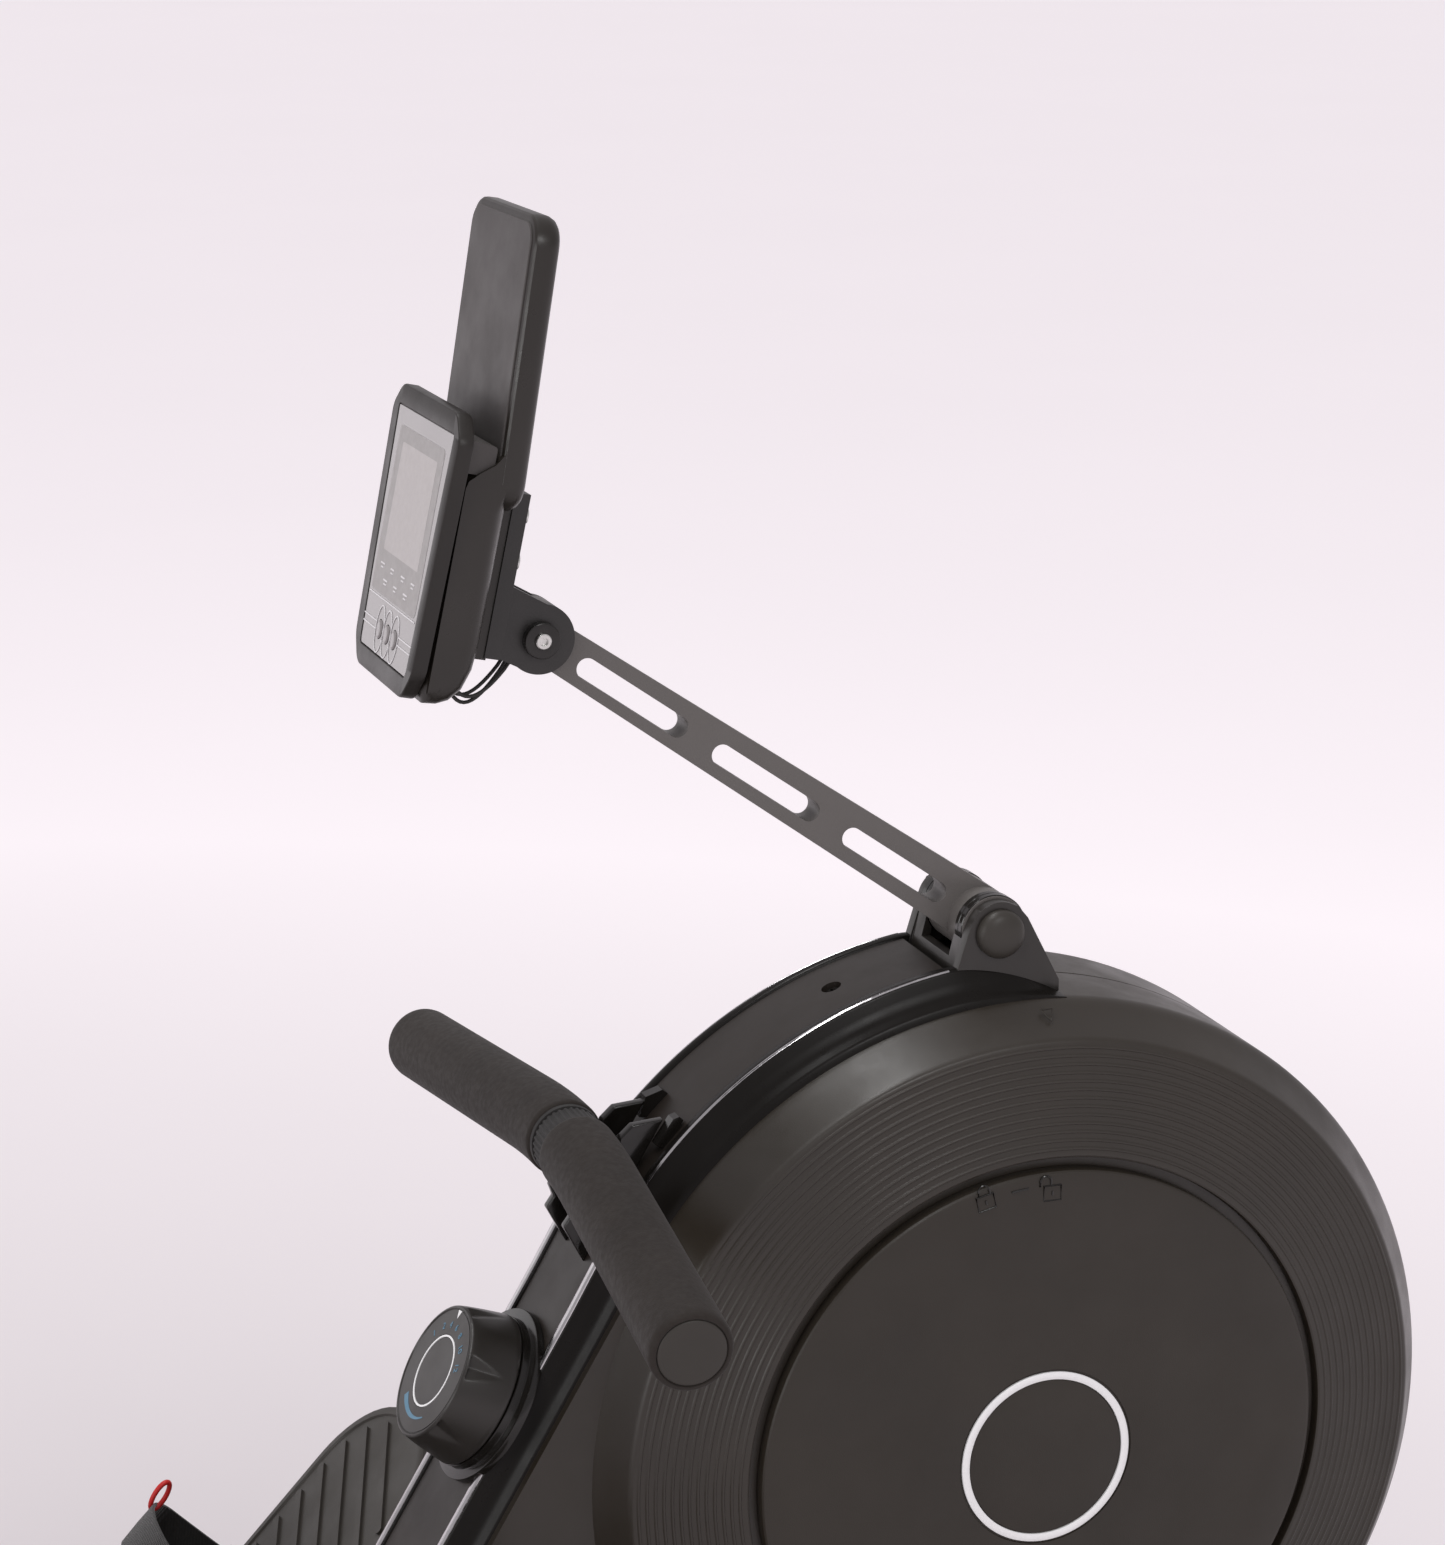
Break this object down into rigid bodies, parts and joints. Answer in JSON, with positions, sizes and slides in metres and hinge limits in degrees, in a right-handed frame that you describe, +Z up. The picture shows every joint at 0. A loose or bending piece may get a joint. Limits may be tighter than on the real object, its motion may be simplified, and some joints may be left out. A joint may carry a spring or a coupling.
{
  "type": "rowing machine",
  "caption": "Folding magnetic rowing machine with round flywheel housing, tilting console on an arm, pull handle, sliding seat on a rail and strapped footplates.",
  "frame": {"origin": "on the floor, at the middle of the footprint", "axes": "+X from the seat towards the flywheel, +Y to the rower's left, +Z up"},
  "size_m": [1.9, 0.47, 0.9103],
  "materials": {
    "aluminium": "anodised",
    "arm_coat": "fine-textured dark grey powder coat",
    "button_plastic": "satin dark grey",
    "cap_plastic": "satin dark grey",
    "console_plastic": "fine-grained dark warm grey",
    "foam": "closed-cell foam",
    "gloss_black": "glossy black",
    "iron": "machined",
    "lcd": "pale display",
    "lens": "smoked clear",
    "painted_steel": "fine-textured black powder coat",
    "red": "red",
    "roller_nylon": "nylon",
    "rubber": "matte black rubber",
    "shell_plastic": "satin black moulded plastic",
    "strip_plastic": "satin dark brown-grey",
    "vinyl": "black grained vinyl",
    "webbing": "woven black webbing",
    "wheel_rubber": "hard rubber",
    "zinc": "zinc-plated"
  },
  "bodies": {
    "frame": {"main_frame": "painted_steel", "front_stabiliser": "painted_steel", "mid_stabiliser": "painted_steel", "stabiliser_caps": "rubber", "wheel_axles": "zinc", "right_shell": "shell_plastic", "left_shell": "shell_plastic", "centre_strip": "strip_plastic", "cover_screws": "zinc", "handle_holder": "gloss_black", "flywheel_axle": "zinc", "tension_cable": "rubber", "knob_base": "gloss_black", "console_mount": "gloss_black", "mount_pivot_bolt": "cap_plastic", "pull_strap": "webbing", "foot_axle_rod": "zinc", "hinge_pin": "zinc"},
    "wheel_right": {"transport_wheel_right": "wheel_rubber"},
    "wheel_left": {"transport_wheel_left": "wheel_rubber"},
    "cover_right": {"right_access_cover": "shell_plastic"},
    "cover_left": {"left_access_cover": "shell_plastic"},
    "flywheel_body": {"flywheel": "iron"},
    "reel": {"strap_reel": "cap_plastic"},
    "brake": {"brake_bracket": "zinc", "brake_magnets": "iron"},
    "knob": {"tension_knob": "gloss_black"},
    "arm": {"console_arm": "arm_coat", "arm_pivot_bolt": "gloss_black"},
    "console": {"console_bracket": "painted_steel", "console_screws": "zinc", "console_back": "console_plastic", "console_bezel": "console_plastic", "console_lens": "lens", "console_lcd": "lcd", "console_wires": "rubber"},
    "key_left": {"button_left": "button_plastic"},
    "key_middle": {"button_middle": "button_plastic"},
    "key_right": {"button_right": "button_plastic"},
    "handle": {"handle_bar": "painted_steel", "handle_grips": "foam", "handle_collar": "cap_plastic", "handle_end_caps": "cap_plastic"},
    "pedal_right": {"footplate_right": "cap_plastic", "foot_strap_right": "webbing"},
    "pedal_left": {"footplate_left": "cap_plastic", "foot_strap_left": "webbing"},
    "lock_pin": {"fold_pin": "red"},
    "rail_body": {"rail": "aluminium", "rail_bracket": "painted_steel", "rail_stops": "rubber", "rail_end_cap": "rubber", "rear_leg": "painted_steel", "rear_feet": "rubber"},
    "seat": {"seat_pad": "vinyl", "seat_carriage": "painted_steel", "seat_axles": "zinc"},
    "seat_rollers_front": {"rollers_front": "roller_nylon"},
    "seat_rollers_rear": {"rollers_rear": "roller_nylon"}
  },
  "joints": [
    {"name": "transport_wheel_right_spin", "type": "hinge", "parent": "frame", "child": "wheel_right", "pos_m": [0.922, -0.218, 0.03], "axis": [0, 1, 0], "continuous": true},
    {"name": "transport_wheel_left_spin", "type": "hinge", "parent": "frame", "child": "wheel_left", "pos_m": [0.922, 0.218, 0.03], "axis": [0, 1, 0], "continuous": true},
    {"name": "right_cover_turn", "type": "hinge", "parent": "frame", "child": "cover_right", "pos_m": [0.736, -0.072, 0.34], "axis": [0, 1, 0], "range_deg": [0, 13]},
    {"name": "left_cover_turn", "type": "hinge", "parent": "frame", "child": "cover_left", "pos_m": [0.736, 0.072, 0.34], "axis": [0, 1, 0], "range_deg": [0, 13]},
    {"name": "flywheel_spin", "type": "hinge", "parent": "frame", "child": "flywheel_body", "pos_m": [0.736, -0.007, 0.34], "axis": [0, 1, 0], "continuous": true},
    {"name": "handle_pull", "type": "slide", "parent": "frame", "child": "handle", "axis": [-0.9703, 0, 0.2419], "range_m": [0, 1.1], "stiffness_N_per_m": 12, "springref_m": -1.5, "deforming": ["pull_strap"]},
    {"name": "reel_spin", "type": "hinge", "parent": "frame", "child": "reel", "pos_m": [0.736, 0.017, 0.34], "axis": [0, 1, 0], "range_deg": [-5, 1600]},
    {"name": "tension_turn", "type": "hinge", "parent": "frame", "child": "knob", "pos_m": [0.49718, 0, 0.37293], "axis": [-0.859, 0, 0.512], "range_deg": [-40, 180]},
    {"name": "brake_swing", "type": "hinge", "parent": "frame", "child": "brake", "pos_m": [0.678, -0.007, 0.18], "axis": [0, 1, 0], "range_deg": [-0.5, 1.7]},
    {"name": "console_arm_tilt", "type": "hinge", "parent": "frame", "child": "arm", "pos_m": [0.729, 0, 0.577], "axis": [0, 1, 0], "range_deg": [-15, 70]},
    {"name": "console_tilt", "type": "hinge", "parent": "arm", "child": "console", "pos_m": [0.52007, 0, 0.72493], "axis": [0, 1, 0], "range_deg": [-25, 35], "deforming": ["console_wires"]},
    {"name": "button_left_press", "type": "slide", "parent": "console", "child": "key_left", "axis": [0.9781, 0, -0.2079], "range_m": [0, 0.001], "stiffness_N_per_m": 300, "springref_m": -0.002},
    {"name": "button_middle_press", "type": "slide", "parent": "console", "child": "key_middle", "axis": [0.9781, 0, -0.2079], "range_m": [0, 0.001], "stiffness_N_per_m": 300, "springref_m": -0.002},
    {"name": "button_right_press", "type": "slide", "parent": "console", "child": "key_right", "axis": [0.9781, 0, -0.2079], "range_m": [0, 0.001], "stiffness_N_per_m": 300, "springref_m": -0.002},
    {"name": "right_pedal_tilt", "type": "hinge", "parent": "frame", "child": "pedal_right", "pos_m": [0.361, -0.112, 0.16], "axis": [0, 1, 0], "range_deg": [-12, 12]},
    {"name": "left_pedal_tilt", "type": "hinge", "parent": "frame", "child": "pedal_left", "pos_m": [0.361, 0.112, 0.16], "axis": [0, 1, 0], "range_deg": [-12, 12]},
    {"name": "lock_pin_pull", "type": "slide", "parent": "frame", "child": "lock_pin", "axis": [0, -1, 0], "range_m": [0, 0.01], "stiffness_N_per_m": 600, "springref_m": -0.004},
    {"name": "rail_fold", "type": "hinge", "parent": "frame", "child": "rail_body", "pos_m": [0.296, 0, 0.2], "axis": [0, 1, 0], "range_deg": [0, 80]},
    {"name": "seat_slide", "type": "slide", "parent": "rail_body", "child": "seat", "axis": [-1, 0, 0], "range_m": [-0.33, 0.49]},
    {"name": "front_rollers_spin", "type": "hinge", "parent": "seat", "child": "seat_rollers_front", "pos_m": [-0.214, 0, 0.2463], "axis": [0, 1, 0], "range_deg": [-2000, 1300]},
    {"name": "rear_rollers_spin", "type": "hinge", "parent": "seat", "child": "seat_rollers_rear", "pos_m": [-0.314, 0, 0.2463], "axis": [0, 1, 0], "range_deg": [-2000, 1300]}
  ],
  "couplings": [
    {"joint": "front_rollers_spin", "follows": "seat_slide", "rad_per_m": -62.5},
    {"joint": "rear_rollers_spin", "follows": "seat_slide", "rad_per_m": -62.5},
    {"joint": "reel_spin", "follows": "handle_pull", "rad_per_m": 25},
    {"joint": "brake_swing", "follows": "tension_turn", "ratio": 0.008}
  ]
}
